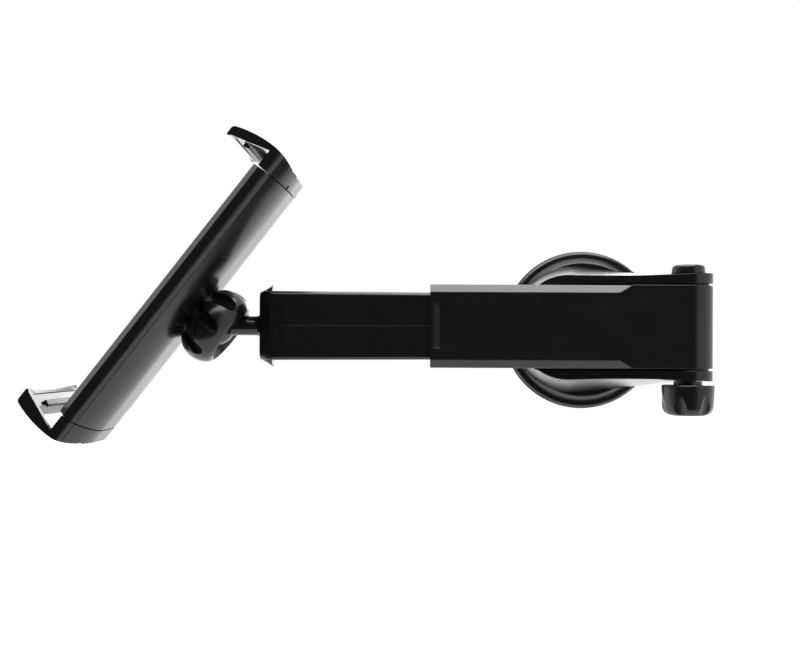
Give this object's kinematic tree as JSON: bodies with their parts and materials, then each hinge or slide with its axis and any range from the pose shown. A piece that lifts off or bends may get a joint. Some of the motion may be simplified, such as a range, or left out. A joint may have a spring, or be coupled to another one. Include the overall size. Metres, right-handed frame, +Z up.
{
  "type": "tablet holder",
  "caption": "Suction-cup tablet holder with a folding telescopic arm, a ball joint with a fluted nut and an inclined bracket with a sprung jaw.",
  "frame": {"origin": "centre of the suction face, on the glass", "axes": "+Y into the glass, +X along the folded arm from the tablet to the pivot, +Z up along the pivot bolt"},
  "size_m": [0.3423, 0.09, 0.1539],
  "materials": {
    "black_abs": "fine moulded texture",
    "nylon": "smooth",
    "rubber": "soft matt",
    "steel": "zinc plated",
    "brass": "turned"
  },
  "bodies": {
    "foot": {"suction_cup": "rubber", "cup_stem": "nylon", "pressure_ring": "black_abs", "base_bracket": "black_abs", "base_screws": "steel", "pivot_bolt": "black_abs", "washer_upper": "nylon", "washer_lower": "nylon"},
    "lever": {"lock_lever": "black_abs", "lever_pin": "steel"},
    "knob": {"clamp_knob": "black_abs", "knob_insert": "brass"},
    "outer_arm": {"outer_arm": "black_abs", "mouth_bush": "black_abs"},
    "inner_arm": {"inner_arm_upper": "black_abs", "inner_arm_lower": "black_abs", "arm_screws": "steel", "slide_shoe": "nylon", "ball_stud": "black_abs"},
    "seat": {"ball_seat": "nylon"},
    "collar": {"ball_collar": "nylon"},
    "bracket": {"bracket_back": "black_abs", "bracket_front": "black_abs", "bracket_screws": "steel", "front_pad": "rubber", "lower_jaw": "black_abs", "lower_jaw_pad": "rubber", "jaw_spring_near": "steel", "jaw_spring_far": "steel"},
    "nut": {"ball_nut": "black_abs"},
    "jaw": {"upper_jaw": "black_abs", "upper_jaw_pad": "rubber"}
  },
  "joints": [
    {"name": "arm_fold", "type": "hinge", "parent": "foot", "child": "outer_arm", "pos_m": [0.0475, -0.054, 0], "axis": [0, 0, 1], "range_deg": [0, 180]},
    {"name": "knob_turn", "type": "hinge", "parent": "foot", "child": "knob", "pos_m": [0.0475, -0.054, 0], "axis": [0, 0, 1], "continuous": true},
    {"name": "lever_swing", "type": "hinge", "parent": "foot", "child": "lever", "pos_m": [0, -0.019, 0], "axis": [0, 0, 1], "range_deg": [0, 27]},
    {"name": "arm_slide", "type": "slide", "parent": "outer_arm", "child": "inner_arm", "axis": [1, 0, 0], "range_m": [0, 0.0795]},
    {"name": "ball_roll", "type": "hinge", "parent": "inner_arm", "child": "seat", "pos_m": [-0.1939, -0.054, 0], "axis": [1, 0, 0], "continuous": true},
    {"name": "ball_tilt", "type": "hinge", "parent": "seat", "child": "collar", "pos_m": [-0.1939, -0.054, 0], "axis": [0, 1, 0], "range_deg": [-75.8, 0]},
    {"name": "bracket_spin", "type": "hinge", "parent": "collar", "child": "bracket", "pos_m": [-0.1939, -0.054, 0], "axis": [0.7891, 0, -0.6143], "continuous": true},
    {"name": "nut_turn", "type": "hinge", "parent": "bracket", "child": "nut", "pos_m": [-0.1939, -0.054, 0], "axis": [0.7891, 0, -0.6143], "continuous": true},
    {"name": "jaw_slide", "type": "slide", "parent": "bracket", "child": "jaw", "axis": [0.6143, 0, 0.7891], "range_m": [0, 0.06], "stiffness_N_per_m": 250, "springref_m": -0.02, "deforming": ["jaw_spring_near", "jaw_spring_far"]}
  ]
}
